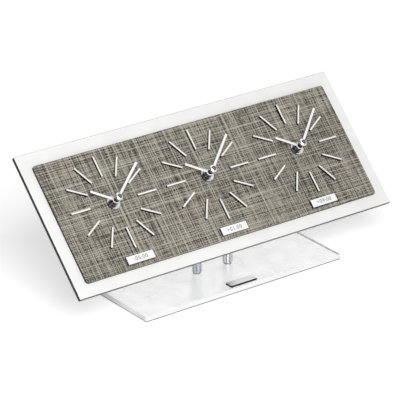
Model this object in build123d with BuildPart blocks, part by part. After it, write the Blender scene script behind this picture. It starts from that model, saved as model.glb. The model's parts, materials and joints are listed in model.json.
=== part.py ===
from build123d import *
import math
import os

# World time clock: a white panel leaning back on two slim posts over a clear base,
# with one wide dial plate, three sets of hands and three quartz movements behind it.
# Millimetres, +Z up, the front towards -Y. The origin is the middle of the base's underside.

os.makedirs("parts", exist_ok=True)

# Stand
base_width = 252.0
base_depth = 116.0
base_thickness = 6.0
base_corner = 2.0
edge_easing = 0.4
film = 0.1
post_radius = 5.2
post_spacing = 40.0
post_gap = 0.67
badge_width = 33.0
badge_depth = 9.6
badge_thickness = 2.0
badge_setback = 3.0

# Leaning panel and dial plate
lean = 45.0
panel_width = 400.0
panel_height = 161.0
panel_thickness = 4.0
panel_corner = 1.0
panel_setback = 65.0
panel_centre_height = 100.0
side_border = 14.0
end_border = 14.5
dial_thickness = 2.5
dial_corner = 3.0
dial_drop = 1.0

# Dials: three equal fields along the dial plate, with markers and a small plate in each
dial_end_room = 9.0
marker_side_room = 6.9
marker_top_room = 7.95
marker_plate_room = 7.0
marker_count = 12
marker_length = 23.0
marker_width = 1.8
marker_height = 3.0
zone_plate_width = 32.5
zone_plate_height = 8.5
zone_plate_thickness = 3.0
zone_plate_rise = 4.35

# Screws
screw_radius = 2.0
screw_head_radius = 3.8
base_screw_length = 20.0
panel_screw_length = 8.0
screw_tip_room = 0.2
thread_gap = 0.02
seat_gap = 0.05

# Hands and their pipes
minute_angles = (51.0, 47.0, 45.5)
first_hour_angle = 300.0
hand_width = 2.6
hand_thickness = 0.7
minute_hand_short = 4.5
hour_hand_short = 0.7
hour_hand_lift = 2.0
minute_hand_lift = 7.0
hour_collar_drop = 1.4
minute_collar_drop = 4.6
hour_collar_radius = 3.7
minute_collar_radius = 3.0
cap_radius = 4.4
cap_rim = 1.4
cap_dome = 2.0
cap_bore_depth = 1.8
arbor_radius = 1.75
pipe_wall = 0.7
bush_radius = 4.0
bush_tip_room = 0.8
bush_hole_gap = 0.2
nut_radius = 7.3
nut_flange = 1.6
nut_collar_radius = 5.0
nut_collar = 2.2
running_gap = 0.05

# Movement case, seen from the front with the hub as its centre
case_above = 40.0
case_wall = 1.2
wheel_wall_room = 1.0
case_corner = 3.0
case_easing = 0.6
cover_thickness = 1.5
battery_radius = 7.1
battery_length = 50.5
battery_nub_radius = 2.75
battery_nub = 1.0
battery_room = 0.1
contact_space = 1.55
bay_room = 0.55
contact_thickness = 0.4
contact_width = 8.0
contact_height = 9.0
contact_button_radius = 2.0
contact_room = 0.1

# Gear trains: teeth, centre distances and directions
cannon_teeth = 16
minute_wheel_teeth = 48
minute_pinion_teeth = 12
hour_wheel_teeth = 48
motion_distance = 9.6
motion_direction = 0.0
knob_teeth = 16
knob_direction = -10.0
centre_wheel_teeth = 64
third_wheel_teeth = 60
small_pinion_teeth = 8
train_distance = 10.2
third_direction = 60.0
seconds_wheel_teeth = 40
seconds_distance = 9.6
fifth_direction = 150.0
fifth_wheel_teeth = 48
rotor_distance = 8.4
rotor_direction = 120.0
tooth_rise = 0.8
tooth_drop = 1.15
wheel_tooth_share = 0.38
wheel_flank = 18.0
pinion_tooth_share = 0.34
pinion_flank = 3.0
motion_flank = 8.0

# Layers of the movement, each the rear face of a wheel, stepping back from the cover
wheel_thickness = 0.8
motion_wheel_thickness = 1.0
hour_wheel_room = 0.7
motion_step = 1.8
centre_step = 2.4
train_step = 2.4
fifth_step = 2.2
train_room = 0.9
layer_room = 0.2
arbor_flange_radius = 2.75
stud_radius = 0.4
motion_stud_radius = 0.6
rotor_radius = 2.8
rotor_height = 3.2

# Setting knob
knob_radius = 5.5
knob_height = 4.0
knob_shaft_radius = 1.5
knob_standoff = 0.5
knob_ribs = 18
knob_rib_depth = 0.5

# Stepping motor and circuit board
stator_thickness = 0.8
stator_room = 0.1
stator_limb = 2.4
stator_ring_radius = 5.2
stator_ring_gap = 0.5
coil_radius = 2.9
coil_length = 18.0
coil_from_side = 4.3
limb_pitch = 7.5
limb_room = 0.1
board_width = 15.0
board_height = 26.0
board_thickness = 1.0
board_from_cover = 1.5
board_boss_radius = 1.5
board_boss_inset = 4.0
board_room = 0.1


def gear_module(distance, first_teeth, second_teeth):
    """The tooth size that makes two wheels mesh at a centre distance."""
    return 2 * distance / (first_teeth + second_teeth)


# Panel, dial plate and dials that follow from the sizes above
lean_angle = math.radians(lean)
outward = (0, -math.cos(lean_angle), math.sin(lean_angle))
base_front = -base_depth / 2
panel_front = Plane(
    origin=(0, base_front + panel_setback, panel_centre_height), x_dir=(1, 0, 0), z_dir=outward
)
panel_back = panel_front.offset(-panel_thickness)
dial_back = panel_front.offset(film)
dial_top = dial_back.offset(dial_thickness)
dial_width = panel_width - 2 * side_border
dial_height = panel_height - 2 * end_border
dial_bottom = -dial_drop - dial_height / 2
hub_spacing = (dial_width - 2 * dial_end_room) / 3
zone_plate_middle = dial_bottom + zone_plate_rise + zone_plate_height / 2
marker_lowest = zone_plate_middle + zone_plate_height / 2 + marker_plate_room
marker_highest = dial_bottom + dial_height - marker_top_room
marker_end = min((marker_highest - marker_lowest) / 2, hub_spacing / 2 - marker_side_room)
marker_start = marker_end - marker_length
hub_rise = (marker_highest + marker_lowest) / 2
hub_places = {"left": -hub_spacing, "middle": 0.0, "right": hub_spacing}
hub_planes = {
    side: Plane(panel_back.from_local_coords((x, hub_rise, 0)), x_dir=(1, 0, 0), z_dir=outward)
    for side, x in hub_places.items()
}

# Heights along each hub's axis, from the panel's back face
dial_level = panel_thickness + film + dial_thickness
nut_top = dial_level + nut_flange + nut_collar
bush_top = nut_top + bush_tip_room
hour_hand_height = bush_top + hour_hand_lift
minute_hand_height = hour_hand_height + minute_hand_lift
minute_hand_length = marker_end - minute_hand_short
hour_hand_length = marker_start - hour_hand_short
pipe_bore = arbor_radius + running_gap
pipe_radius = pipe_bore + pipe_wall
pipe_top = hour_hand_height + hand_thickness
arbor_top = minute_hand_height + hand_thickness + cap_bore_depth
cover_back = -cover_thickness
hour_layer = cover_back - hour_wheel_room - motion_wheel_thickness
minute_layer = hour_layer - motion_step
centre_layer = minute_layer - centre_step
third_layer = centre_layer - train_step
seconds_layer = third_layer - train_step
fifth_layer = seconds_layer - fifth_step
stator_layer = seconds_layer + wheel_thickness
case_inside = fifth_layer - train_room
case_depth = case_wall - case_inside

# Size of the movement case, around the centre wheel and the battery
centre_module = gear_module(train_distance, small_pinion_teeth, centre_wheel_teeth)
centre_tip = (centre_wheel_teeth / 2 + tooth_rise) * centre_module
case_below = centre_tip + wheel_wall_room + case_wall
inner_width = battery_length + 2 * contact_space
case_width = inner_width + 2 * case_wall
case_height = case_above + case_below
case_middle = (0.0, (case_above - case_below) / 2)

# The posts stand just in front of the middle case's lower edge
case_edge = panel_back.from_local_coords((0, hub_rise - case_below, 0))
post_y = case_edge.Y - post_gap - post_radius
post_places = {"left_post": -post_spacing / 2, "right_post": post_spacing / 2}

# Where a post's axis meets the panel's back face, up the panel from its centre
post_meets_panel = (post_y - panel_back.origin.Y) / math.sin(lean_angle)
post_top = panel_back.from_local_coords((0, post_meets_panel, 0)).Z

stand_up = (Align.CENTER, Align.CENTER, Align.MIN)


def polar(distance, direction, start=(0.0, 0.0)):
    """A point at a distance and a direction in degrees from another point of a movement."""
    angle = math.radians(direction)
    return (start[0] + distance * math.cos(angle), start[1] + distance * math.sin(angle))


def disc(plane, low, high, radius, at=(0.0, 0.0), mode=Mode.ADD):
    """A cylinder square to the plane, from one height to another."""
    place = Plane(plane.from_local_coords((at[0], at[1], low)), x_dir=plane.x_dir, z_dir=plane.z_dir)
    with Locations(place):
        Cylinder(radius, high - low, align=stand_up, mode=mode)


def block(plane, low, high, width, height, at=(0.0, 0.0), mode=Mode.ADD):
    """A box square to the plane, from one height to another."""
    place = Plane(plane.from_local_coords((at[0], at[1], low)), x_dir=plane.x_dir, z_dir=plane.z_dir)
    with Locations(place):
        Box(width, height, high - low, align=stand_up, mode=mode)


def gear(plane, low, high, teeth, module, share, flank, at=(0.0, 0.0), phase=0.0):
    """A toothed wheel with straight flanks and one tooth pointing along the phase angle."""
    pitch_radius = teeth * module / 2
    half_tooth = share * math.pi * module / 2
    slope = math.tan(math.radians(flank))
    root = pitch_radius - tooth_drop * module
    tip = pitch_radius + tooth_rise * module
    corners = []
    for tooth in range(teeth):
        middle = math.radians(phase) + 2 * math.pi * tooth / teeth
        for radius, side in ((root, -1), (tip, -1), (tip, 1), (root, 1)):
            half_width = half_tooth - (radius - pitch_radius) * slope
            angle = middle + side * math.asin(half_width / radius)
            corners.append((at[0] + radius * math.cos(angle), at[1] + radius * math.sin(angle)))
    with BuildSketch(plane.offset(low)) as outline:
        with BuildLine():
            Polyline(*corners, close=True)
        make_face()
    extrude(outline.sketch, amount=high - low)


def mesh_phase(direction, teeth, partner_teeth, partner_phase):
    """The phase that puts a wheel in mesh with a partner that lies against the direction."""
    partner_share = (direction - partner_phase) * partner_teeth / 360
    return direction + 180 - (0.5 - partner_share) * 360 / teeth


def turned(plane, clockwise):
    """The plane turned about its own normal, clockwise as seen from in front."""
    angle = math.radians(clockwise)
    across = plane.x_dir * math.cos(angle) - plane.y_dir * math.sin(angle)
    return Plane(plane.origin, x_dir=across, z_dir=plane.z_dir)


def ease_rim(piece, plane, side, size):
    """Chamfer the outer rim of the face that lies furthest along the plane's normal, or furthest back."""
    face = piece.faces().sort_by(Axis(plane.origin, plane.z_dir))[side]
    chamfer(face.outer_wire().edges(), size)


def save(piece, name):
    """Name a finished piece and write it out."""
    piece.part.label = name
    export_step(piece.part, f"parts/{name}.step")


# Base plate, with countersunk holes under the posts
with BuildPart() as base_plate:
    with BuildSketch():
        RectangleRounded(base_width, base_depth, base_corner)
    extrude(amount=base_thickness)
    for x in post_places.values():
        with Locations(Plane((x, post_y, 0), x_dir=(1, 0, 0), z_dir=(0, 0, -1))):
            CounterSinkHole(screw_radius + seat_gap, screw_head_radius + seat_gap)
    for side in (0, -1):
        ease_rim(base_plate, Plane.XY, side, edge_easing)
save(base_plate, "base_plate")

# Bare badge plate near the base's front edge
with BuildPart() as base_badge:
    badge_y = base_front + badge_setback + badge_depth / 2
    with BuildSketch(Plane((0, badge_y, base_thickness + film))):
        Rectangle(badge_width, badge_depth)
    extrude(amount=badge_thickness)
save(base_badge, "base_badge")

# Posts, cut to the panel's slope, with a screw hole at each end
for name, x in post_places.items():
    with BuildPart() as post:
        with BuildSketch(Plane((x, post_y, base_thickness + film))):
            Circle(post_radius)
        slope_rise = post_radius / math.tan(lean_angle)
        extrude(amount=post_top - base_thickness + 2 * slope_rise)
        split(bisect_by=panel_back.offset(-film), keep=Keep.BOTTOM)
        base_thread = base_screw_length - base_thickness + screw_tip_room
        disc(
            Plane.XY, base_thickness, base_thickness + base_thread,
            screw_radius + thread_gap, (x, post_y), Mode.SUBTRACT,
        )
        panel_thread = panel_screw_length - panel_thickness + screw_tip_room
        disc(
            panel_back, -panel_thread, 0, screw_radius + thread_gap, (x, post_meets_panel), Mode.SUBTRACT
        )
    save(post, name)

# Front panel, with holes for the three bushes and countersunk holes over the posts
with BuildPart() as front_panel:
    with BuildSketch(panel_back):
        RectangleRounded(panel_width, panel_height, panel_corner)
    extrude(amount=panel_thickness)
    for plane in hub_planes.values():
        disc(plane, 0, panel_thickness, bush_radius + bush_hole_gap, mode=Mode.SUBTRACT)
    for x in post_places.values():
        hole = Plane(
            panel_front.from_local_coords((x, post_meets_panel, 0)), x_dir=(1, 0, 0), z_dir=outward
        )
        with Locations(hole):
            CounterSinkHole(screw_radius + seat_gap, screw_head_radius + seat_gap, panel_thickness)
    for side in (0, -1):
        ease_rim(front_panel, panel_back, side, edge_easing)
save(front_panel, "front_panel")

# Dial plate on the panel's front
with BuildPart() as dial_plate:
    with BuildSketch(dial_back):
        with Locations((0, -dial_drop)):
            RectangleRounded(dial_width, dial_height, dial_corner)
    extrude(amount=dial_thickness)
    for plane in hub_planes.values():
        disc(plane, panel_thickness, dial_level, bush_radius + bush_hole_gap, mode=Mode.SUBTRACT)
save(dial_plate, "dial_plate")


def countersunk_screw(plane, length):
    """A countersunk screw whose flat head lies in the plane and whose shank points against it."""
    head = screw_head_radius - screw_radius
    disc(plane, -length, -head, screw_radius)
    place = plane.offset(-head)
    with Locations(place):
        Cone(screw_radius, screw_head_radius, head, align=stand_up)


# Screws up through the base into the posts
with BuildPart() as base_screws:
    for x in post_places.values():
        countersunk_screw(Plane((x, post_y, 0), x_dir=(1, 0, 0), z_dir=(0, 0, -1)), base_screw_length)
save(base_screws, "base_screws")

# Screws through the panel into the posts, hidden by the dial plate
with BuildPart() as panel_screws:
    for x in post_places.values():
        seat = panel_front.from_local_coords((x, post_meets_panel, 0))
        countersunk_screw(Plane(seat, x_dir=(1, 0, 0), z_dir=outward), panel_screw_length)
save(panel_screws, "panel_screws")

# Raised hour markers, twelve around each hub
with BuildPart() as hour_markers:
    for x in hub_places.values():
        for step in range(marker_count):
            direction = 90 - step * 360 / marker_count
            middle = polar(marker_start + marker_length / 2, direction, (x, hub_rise))
            with BuildSketch(dial_top) as marker:
                with Locations(Location((middle[0], middle[1], 0), (0, 0, direction))):
                    Rectangle(marker_length, marker_width)
            extrude(marker.sketch, amount=marker_height)
save(hour_markers, "hour_markers")

# Plates under the dials
with BuildPart() as zone_plates:
    for x in hub_places.values():
        with BuildSketch(dial_top) as zone_plate:
            with Locations((x, zone_plate_middle)):
                Rectangle(zone_plate_width, zone_plate_height)
        extrude(zone_plate.sketch, amount=zone_plate_thickness)
save(zone_plates, "zone_plates")

# Round stepped nuts that hold the movements to the panel
with BuildPart() as fixing_nuts:
    for plane in hub_planes.values():
        disc(plane, dial_level, dial_level + nut_flange, nut_radius)
        disc(plane, dial_level + nut_flange, nut_top, nut_collar_radius)
        disc(plane, dial_level, nut_top, bush_radius + thread_gap, mode=Mode.SUBTRACT)
save(fixing_nuts, "fixing_nuts")

# Gear places and tooth sizes, the same in each movement
minute_wheel_at = polar(motion_distance, motion_direction)
knob_at = polar(motion_distance, knob_direction, minute_wheel_at)
third_at = polar(train_distance, third_direction)
fifth_at = polar(seconds_distance, fifth_direction)
rotor_at = polar(rotor_distance, rotor_direction, fifth_at)
cannon_module = gear_module(motion_distance, cannon_teeth, minute_wheel_teeth)
hour_module = gear_module(motion_distance, minute_pinion_teeth, hour_wheel_teeth)
third_module = gear_module(train_distance, small_pinion_teeth, third_wheel_teeth)
seconds_module = gear_module(seconds_distance, small_pinion_teeth, seconds_wheel_teeth)
fifth_module = gear_module(rotor_distance, small_pinion_teeth, fifth_wheel_teeth)
minute_wheel_phase = mesh_phase(motion_direction, minute_wheel_teeth, cannon_teeth, 0)
minute_pinion_phase = mesh_phase(motion_direction, minute_pinion_teeth, hour_wheel_teeth, 0)
knob_phase = mesh_phase(knob_direction, knob_teeth, minute_wheel_teeth, minute_wheel_phase)
third_wheel_phase = mesh_phase(third_direction, third_wheel_teeth, small_pinion_teeth, 0)
third_pinion_phase = mesh_phase(third_direction, small_pinion_teeth, centre_wheel_teeth, 0)
fifth_pinion_phase = mesh_phase(fifth_direction, small_pinion_teeth, seconds_wheel_teeth, 0)
rotor_pinion_phase = mesh_phase(rotor_direction, small_pinion_teeth, fifth_wheel_teeth, 0)

# Places of the battery, motor and circuit board
bay_height = 2 * (battery_radius + bay_room)
bay_middle = (0.0, case_above - case_wall - bay_height / 2)
battery_axis = cover_back - battery_room - battery_radius
chamber_top = bay_middle[1] - bay_height / 2 - case_wall
chamber_bottom = case_wall - case_below
chamber_height = chamber_top - chamber_bottom
chamber_middle = (0.0, (chamber_top + chamber_bottom) / 2)
limb_x = coil_from_side - inner_width / 2
return_limb_x = limb_x + limb_pitch
stator_low = chamber_bottom + stator_limb / 2 + stator_room
stator_high = rotor_at[1]
coil_middle = (limb_x, (stator_low + stator_high) / 2)
board_front = cover_back - board_from_cover
board_middle = (board_room + (board_width - inner_width) / 2, chamber_middle[1])
boss_right = board_width / 2 - board_boss_inset
boss_up = board_height / 2 - board_boss_inset
board_bosses = (
    (board_middle[0] - boss_right, board_middle[1] - boss_up),
    (board_middle[0] + boss_right, board_middle[1] + boss_up),
)
stator_bosses = ((return_limb_x, stator_low), (limb_x, stator_low), (limb_x, stator_high))
knob_pocket = minute_layer - motion_wheel_thickness / 2
knob_shaft_top = minute_layer + motion_wheel_thickness + layer_room
knob_low = -case_depth - knob_standoff - knob_height
motor_stud_top = stator_layer + stator_thickness + rotor_height / 2

hour_ratio = cannon_teeth * minute_pinion_teeth / (minute_wheel_teeth * hour_wheel_teeth)

for (side, plane), minute_angle in zip(hub_planes.items(), minute_angles):
    hour_angle = first_hour_angle + minute_angle * hour_ratio

    # Rear shell of the movement, with an open battery bay and studs for the wheels
    with BuildPart() as movement_case:
        with BuildSketch(plane.offset(-case_depth)) as outline:
            with Locations(case_middle):
                RectangleRounded(case_width, case_height, case_corner)
        extrude(outline.sketch, amount=case_depth - cover_thickness)
        ease_rim(movement_case, plane, 0, case_easing)
        block(plane, case_inside, cover_back, inner_width, chamber_height, chamber_middle, Mode.SUBTRACT)
        block(plane, -case_depth, cover_back, inner_width, bay_height, bay_middle, Mode.SUBTRACT)
        disc(plane, case_inside, centre_layer + layer_room, stud_radius)
        disc(plane, case_inside, centre_layer + wheel_thickness, stud_radius, third_at)
        disc(plane, case_inside, seconds_layer + wheel_thickness, stud_radius, fifth_at)
        disc(plane, case_inside, motor_stud_top, stud_radius, rotor_at)
        for place in stator_bosses:
            disc(plane, case_inside, stator_layer, stator_limb / 2, place)
        disc(
            plane, -case_depth, case_inside, knob_shaft_radius + running_gap, knob_at, Mode.SUBTRACT
        )
    save(movement_case, f"movement_case_{side}")

    # Front cover of the movement, with its threaded bush and the motion work's studs
    with BuildPart() as movement_cover:
        with BuildSketch(plane.offset(cover_back)) as outline:
            with Locations(case_middle):
                RectangleRounded(case_width, case_height, case_corner)
        extrude(outline.sketch, amount=cover_thickness)
        disc(plane, 0, bush_top, bush_radius)
        disc(plane, cover_back, bush_top, pipe_radius + running_gap, mode=Mode.SUBTRACT)
        disc(plane, minute_layer - layer_room, cover_back, motion_stud_radius, minute_wheel_at)
        disc(plane, knob_pocket, cover_back, motion_stud_radius, knob_at)
        for place in board_bosses:
            disc(plane, board_front, cover_back, board_boss_radius, place)
    save(movement_cover, f"movement_cover_{side}")

    # Battery lying across the bay
    with BuildPart() as battery:
        bay = Plane(
            plane.from_local_coords((-battery_length / 2, bay_middle[1], battery_axis)),
            x_dir=plane.y_dir, z_dir=plane.x_dir,
        )
        disc(bay, 0, battery_length - battery_nub, battery_radius)
        disc(bay, battery_length - battery_nub, battery_length, battery_nub_radius)
    save(battery, f"battery_{side}")

    # Stepping rotor: a round magnet with its pinion
    with BuildPart() as rotor:
        gear(
            plane, fifth_layer, fifth_layer + wheel_thickness, small_pinion_teeth, fifth_module,
            pinion_tooth_share, pinion_flank, rotor_at, rotor_pinion_phase,
        )
        magnet_low = stator_layer + stator_thickness / 2 - rotor_height / 2
        disc(plane, fifth_layer, magnet_low, 2 * stud_radius, rotor_at)
        disc(plane, magnet_low, magnet_low + rotor_height, rotor_radius, rotor_at)
        disc(
            plane, fifth_layer, magnet_low + rotor_height, stud_radius + running_gap, rotor_at, Mode.SUBTRACT
        )
    save(rotor, f"rotor_{side}")

    # Fifth wheel, between the rotor and the seconds wheel
    with BuildPart() as fifth_wheel:
        pinion_top = seconds_layer + wheel_thickness
        gear(
            plane, fifth_layer, fifth_layer + wheel_thickness, fifth_wheel_teeth, fifth_module,
            wheel_tooth_share, wheel_flank, fifth_at,
        )
        gear(
            plane, fifth_layer + wheel_thickness, pinion_top, small_pinion_teeth, seconds_module,
            pinion_tooth_share, pinion_flank, fifth_at, fifth_pinion_phase,
        )
        disc(plane, fifth_layer, pinion_top, stud_radius + running_gap, fifth_at, Mode.SUBTRACT)
    save(fifth_wheel, f"fifth_wheel_{side}")

    # Seconds wheel, on the hub's own axis
    with BuildPart() as seconds_wheel:
        pinion_top = third_layer + wheel_thickness
        gear(
            plane, seconds_layer, seconds_layer + wheel_thickness, seconds_wheel_teeth, seconds_module,
            wheel_tooth_share, wheel_flank,
        )
        gear(
            plane, seconds_layer + wheel_thickness, pinion_top, small_pinion_teeth, third_module,
            pinion_tooth_share, pinion_flank,
        )
        disc(plane, seconds_layer, pinion_top, stud_radius + running_gap, mode=Mode.SUBTRACT)
    save(seconds_wheel, f"seconds_wheel_{side}")

    # Third wheel
    with BuildPart() as third_wheel:
        pinion_top = centre_layer + wheel_thickness
        gear(
            plane, third_layer, third_layer + wheel_thickness, third_wheel_teeth, third_module,
            wheel_tooth_share, wheel_flank, third_at, third_wheel_phase,
        )
        gear(
            plane, third_layer + wheel_thickness, pinion_top, small_pinion_teeth, centre_module,
            pinion_tooth_share, pinion_flank, third_at, third_pinion_phase,
        )
        disc(plane, third_layer, pinion_top, stud_radius + running_gap, third_at, Mode.SUBTRACT)
    save(third_wheel, f"third_wheel_{side}")

    # Centre wheel, a slipping fit on the minute arbor
    with BuildPart() as centre_wheel:
        boss_top = minute_layer - layer_room
        gear(
            plane, centre_layer, centre_layer + wheel_thickness, centre_wheel_teeth, centre_module,
            wheel_tooth_share, wheel_flank,
        )
        disc(plane, centre_layer, boss_top, arbor_flange_radius)
        disc(plane, centre_layer, boss_top, arbor_radius + running_gap, mode=Mode.SUBTRACT)
    save(centre_wheel, f"centre_wheel_{side}")

    # Minute arbor with its cannon pinion, up through the hour pipe to the minute hand
    with BuildPart() as minute_arbor:
        arbor_low = centre_layer - layer_room - wheel_thickness
        disc(plane, arbor_low, centre_layer - layer_room, arbor_flange_radius)
        disc(plane, arbor_low, arbor_top, arbor_radius)
        gear(
            plane, minute_layer, minute_layer + motion_wheel_thickness, cannon_teeth, cannon_module,
            pinion_tooth_share, motion_flank,
        )
        disc(
            plane, arbor_low, centre_layer + 2 * layer_room, stud_radius + running_gap, mode=Mode.SUBTRACT
        )
    save(minute_arbor, f"minute_arbor_{side}")

    # Minute wheel of the motion work
    with BuildPart() as minute_wheel:
        pinion_top = hour_layer + motion_wheel_thickness
        gear(
            plane, minute_layer, minute_layer + motion_wheel_thickness, minute_wheel_teeth, cannon_module,
            wheel_tooth_share, wheel_flank, minute_wheel_at, minute_wheel_phase,
        )
        gear(
            plane, minute_layer + motion_wheel_thickness, pinion_top, minute_pinion_teeth, hour_module,
            pinion_tooth_share, motion_flank, minute_wheel_at, minute_pinion_phase,
        )
        disc(
            plane, minute_layer, pinion_top, motion_stud_radius + running_gap, minute_wheel_at, Mode.SUBTRACT
        )
    save(minute_wheel, f"minute_wheel_{side}")

    # Hour wheel with its long pipe
    with BuildPart() as hour_wheel:
        gear(
            plane, hour_layer, hour_layer + motion_wheel_thickness, hour_wheel_teeth, hour_module,
            wheel_tooth_share, wheel_flank,
        )
        disc(plane, hour_layer, pipe_top, pipe_radius)
        disc(plane, hour_layer, pipe_top, pipe_bore, mode=Mode.SUBTRACT)
    save(hour_wheel, f"hour_wheel_{side}")

    # Setting knob behind the case, geared to the minute wheel
    with BuildPart() as setting_knob:
        with BuildSketch(plane.offset(knob_low)) as grip:
            with Locations(knob_at):
                Circle(knob_radius)
                with PolarLocations(knob_radius, knob_ribs):
                    Circle(knob_rib_depth, mode=Mode.SUBTRACT)
        extrude(grip.sketch, amount=knob_height)
        disc(plane, knob_low + knob_height, knob_shaft_top, knob_shaft_radius, knob_at)
        gear(
            plane, minute_layer, minute_layer + motion_wheel_thickness, knob_teeth, cannon_module,
            pinion_tooth_share, motion_flank, knob_at, knob_phase,
        )
        disc(
            plane, knob_pocket - layer_room, knob_shaft_top, motion_stud_radius + running_gap,
            knob_at, Mode.SUBTRACT,
        )
    save(setting_knob, f"setting_knob_{side}")

    # Hour hand, a plain bar on a collar
    with BuildPart() as hour_hand:
        hand = turned(plane, hour_angle)
        block(
            hand, hour_hand_height, hour_hand_height + hand_thickness, hand_width, hour_hand_length,
            (0, hour_hand_length / 2),
        )
        disc(plane, hour_hand_height - hour_collar_drop, pipe_top, hour_collar_radius)
        disc(
            plane, hour_hand_height - hour_collar_drop, pipe_top, pipe_radius + thread_gap, mode=Mode.SUBTRACT
        )
    save(hour_hand, f"hour_hand_{side}")

    # Minute hand, a longer bar on a collar
    with BuildPart() as minute_hand:
        hand = turned(plane, minute_angle)
        hand_top = minute_hand_height + hand_thickness
        block(
            hand, minute_hand_height, hand_top, hand_width, minute_hand_length, (0, minute_hand_length / 2)
        )
        disc(plane, minute_hand_height - minute_collar_drop, hand_top, minute_collar_radius)
        disc(
            plane, minute_hand_height - minute_collar_drop, hand_top, arbor_radius + thread_gap,
            mode=Mode.SUBTRACT,
        )
    save(minute_hand, f"minute_hand_{side}")

    # Domed cap screwed on the arbor's tip
    with BuildPart() as hand_cap:
        cap_low = minute_hand_height + hand_thickness
        cap_top = cap_low + cap_rim + cap_dome
        dome_radius = (cap_radius**2 + cap_dome**2) / (2 * cap_dome)
        disc(plane, cap_low, cap_top, cap_radius)
        with Locations(plane.offset(cap_top - dome_radius)):
            Sphere(dome_radius, mode=Mode.INTERSECT)
        disc(plane, cap_low, arbor_top + thread_gap, arbor_radius + thread_gap, mode=Mode.SUBTRACT)
    save(hand_cap, f"hand_cap_{side}")

# Leaf contacts at both ends of each battery
with BuildPart() as battery_contacts:
    for plane in hub_planes.values():
        for end in (-1, 1):
            wall = Plane(
                plane.from_local_coords((end * inner_width / 2, bay_middle[1], battery_axis)),
                x_dir=plane.y_dir, z_dir=plane.x_dir * -end,
            )
            reach = contact_space - contact_room
            block(wall, 0, contact_thickness, contact_width, contact_height)
            disc(wall, contact_thickness, reach, contact_button_radius)
save(battery_contacts, "battery_contacts")

# Circuit boards on the covers' bosses
with BuildPart() as circuit_boards:
    for plane in hub_planes.values():
        block(plane, board_front - board_thickness, board_front, board_width, board_height, board_middle)
save(circuit_boards, "circuit_boards")

# Stators: two limbs and a ring around each rotor
with BuildPart() as stators:
    for plane in hub_planes.values():
        with BuildSketch(plane.offset(stator_layer)) as outline:
            limb_height = stator_high - stator_low
            for x in (limb_x, return_limb_x):
                with Locations((x, (stator_low + stator_high) / 2)):
                    Rectangle(stator_limb, limb_height + stator_limb)
            with Locations(((limb_x + return_limb_x) / 2, stator_low)):
                Rectangle(limb_pitch, stator_limb)
            with Locations(((limb_x + rotor_at[0]) / 2, stator_high)):
                Rectangle(rotor_at[0] - limb_x, stator_limb)
            with Locations(rotor_at):
                Circle(stator_ring_radius)
                Circle(rotor_radius + stator_ring_gap, mode=Mode.SUBTRACT)
        extrude(outline.sketch, amount=stator_thickness)
save(stators, "stators")

# Coils on the stators' outer limbs
with BuildPart() as coils:
    for plane in hub_planes.values():
        start = plane.from_local_coords(
            (limb_x, coil_middle[1] - coil_length / 2, stator_layer + stator_thickness / 2)
        )
        bobbin = Plane(start, x_dir=plane.x_dir, z_dir=plane.y_dir)
        disc(bobbin, 0, coil_length, coil_radius)
        block(
            bobbin, 0, coil_length, stator_limb + 2 * limb_room, stator_thickness + 2 * limb_room,
            mode=Mode.SUBTRACT,
        )
save(coils, "coils")
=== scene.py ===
import json
import math
import bmesh
import bpy
from mathutils import Matrix, Vector


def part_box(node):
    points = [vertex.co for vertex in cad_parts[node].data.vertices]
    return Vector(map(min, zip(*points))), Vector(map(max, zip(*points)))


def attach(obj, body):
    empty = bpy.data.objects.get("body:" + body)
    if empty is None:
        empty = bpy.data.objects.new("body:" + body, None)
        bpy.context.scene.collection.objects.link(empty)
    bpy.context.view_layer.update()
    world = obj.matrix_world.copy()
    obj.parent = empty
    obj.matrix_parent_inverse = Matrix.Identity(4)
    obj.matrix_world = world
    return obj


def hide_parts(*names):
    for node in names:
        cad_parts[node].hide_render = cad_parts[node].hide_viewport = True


# World time clock: a white panel with a woven dial plate and three pairs of hands, leaning back
# on two slim posts over a clear base, photographed on a white sweep. Named sizes of pieces and
# patterns are in millimetres. Points and the stage are in metres.

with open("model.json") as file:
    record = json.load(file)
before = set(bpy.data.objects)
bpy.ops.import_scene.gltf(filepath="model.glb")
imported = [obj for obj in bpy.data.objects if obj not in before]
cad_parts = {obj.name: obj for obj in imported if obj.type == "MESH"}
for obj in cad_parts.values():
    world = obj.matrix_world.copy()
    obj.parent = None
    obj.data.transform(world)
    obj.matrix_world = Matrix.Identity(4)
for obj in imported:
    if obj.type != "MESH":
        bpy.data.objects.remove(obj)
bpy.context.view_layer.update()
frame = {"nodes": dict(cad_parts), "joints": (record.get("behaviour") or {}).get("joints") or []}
nodes = frame["nodes"]
MM = 0.001
SIDES = ("left", "middle", "right")
UPRIGHT = Vector((0.0, 0.0, 1.0))


def middle_of(node):
    """The middle of a CAD node's box."""
    low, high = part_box(node)
    return (Vector(low) + Vector(high)) / 2


# The panel's own axes: across it, up its slope and out of its front
LEAN = math.radians(45)
ACROSS = Vector((1.0, 0.0, 0.0))
UPWARD = Vector((0.0, math.sin(LEAN), math.cos(LEAN)))
OUTWARD = Vector((0.0, -math.cos(LEAN), math.sin(LEAN)))
PANEL_THICKNESS = 4.0
PANEL_FRONT = middle_of("front_panel") + OUTWARD * PANEL_THICKNESS / 2 * MM

# Hubs and setting knobs stand on the axes of their joints
axis_points = {joint["name"]: Vector(joint["pos_m"]) for joint in frame["joints"]}


def colour(text):
    """The linear colour of an sRGB hex value."""
    channels = [int(text[i:i + 2], 16) / 255 for i in (1, 3, 5)]
    linear = [c / 12.92 if c <= 0.04045 else ((c + 0.055) / 1.055) ** 2.4 for c in channels]
    return (*linear, 1.0)


WHITE = colour("#ffffff")
# The part of a noise texture's range that most of its values lie in
NOISE_LOW = 0.3
NOISE_HIGH = 0.7
# The distance between two bands of a wave texture whose scale is 1
WAVE_STEP = 2 * math.pi / 20.0


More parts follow.
